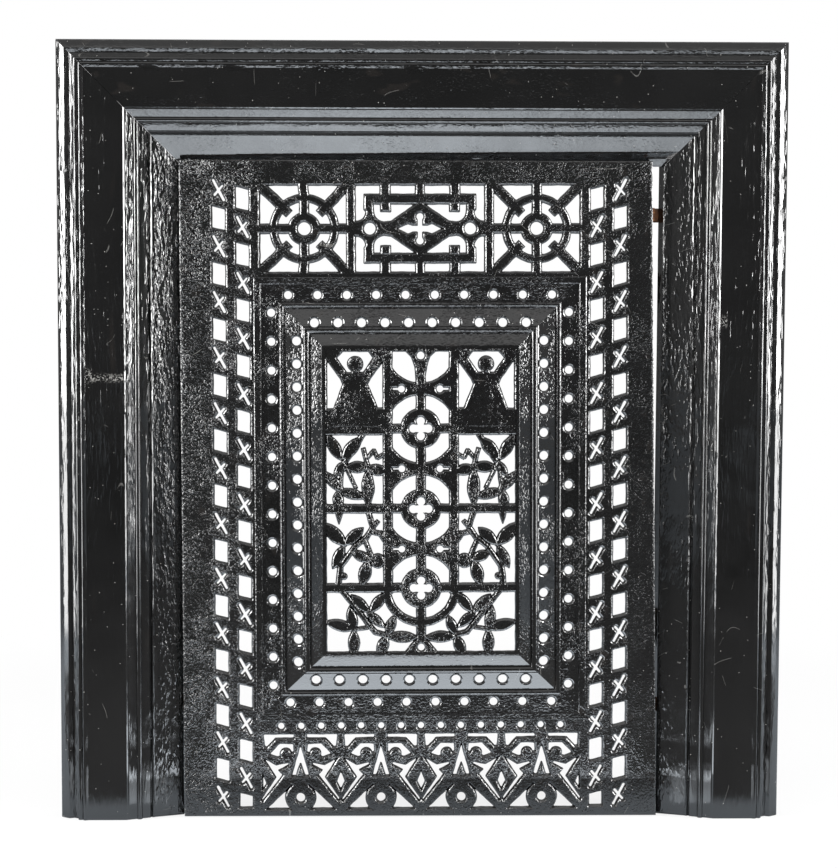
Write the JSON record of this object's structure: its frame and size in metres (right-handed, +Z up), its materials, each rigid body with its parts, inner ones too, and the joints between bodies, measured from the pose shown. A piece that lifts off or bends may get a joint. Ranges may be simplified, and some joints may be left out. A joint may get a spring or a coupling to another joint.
{
  "type": "cast iron fireplace",
  "caption": "Black cast iron fireplace surround with mitred moulded header and jambs, closed by a lift-out pierced summer cover with a raised lattice panel.",
  "frame": {"origin": "on the hearth, midway between the jambs' outer edges and midway in the depth from the wall plane to the panel's front rail", "axes": "+Z up, +Y into the wall, -Y towards the room, +X to the right seen from the room"},
  "size_m": [0.726, 0.045, 0.779],
  "materials": {
    "enamel_iron": "gloss black stove enamel over a sandy casting",
    "blacked_iron": "dull blacked",
    "rusty_steel": "dull, rusted"
  },
  "bodies": {
    "surround": {"header": "enamel_iron", "left_jamb": "enamel_iron", "right_jamb": "enamel_iron", "left_corner_plate": "blacked_iron", "right_corner_plate": "blacked_iron", "corner_screws": "rusty_steel", "upper_left_rest_clip": "rusty_steel", "upper_right_rest_clip": "rusty_steel", "lower_left_rest_clip": "rusty_steel", "lower_right_rest_clip": "rusty_steel", "rest_clip_screws": "rusty_steel"},
    "cover": {"cover_plate": "enamel_iron", "centre_panel": "enamel_iron", "panel_screws": "rusty_steel", "turn_button_screws": "rusty_steel", "turn_button_washers": "rusty_steel"},
    "upper_left_button": {"upper_left_turn_button": "blacked_iron"},
    "upper_right_button": {"upper_right_turn_button": "blacked_iron"},
    "lower_left_button": {"lower_left_turn_button": "blacked_iron"},
    "lower_right_button": {"lower_right_turn_button": "blacked_iron"}
  },
  "joints": [
    {"name": "cover_slide", "type": "slide", "parent": "surround", "child": "cover", "axis": [0, -1, 0], "range_m": [0, 0.08]},
    {"name": "upper_left_pivot", "type": "hinge", "parent": "cover", "child": "upper_left_button", "pos_m": [-0.22275, 0.0155, 0.53904], "axis": [0, 1, 0], "range_deg": [0, 90]},
    {"name": "upper_right_pivot", "type": "hinge", "parent": "cover", "child": "upper_right_button", "pos_m": [0.21724, 0.0155, 0.54095], "axis": [0, -1, 0], "range_deg": [0, 90]},
    {"name": "lower_left_pivot", "type": "hinge", "parent": "cover", "child": "lower_left_button", "pos_m": [-0.22127, 0.0155, 0.19904], "axis": [0, 1, 0], "range_deg": [0, 90]},
    {"name": "lower_right_pivot", "type": "hinge", "parent": "cover", "child": "lower_right_button", "pos_m": [0.21873, 0.0155, 0.20096], "axis": [0, -1, 0], "range_deg": [0, 90]}
  ]
}
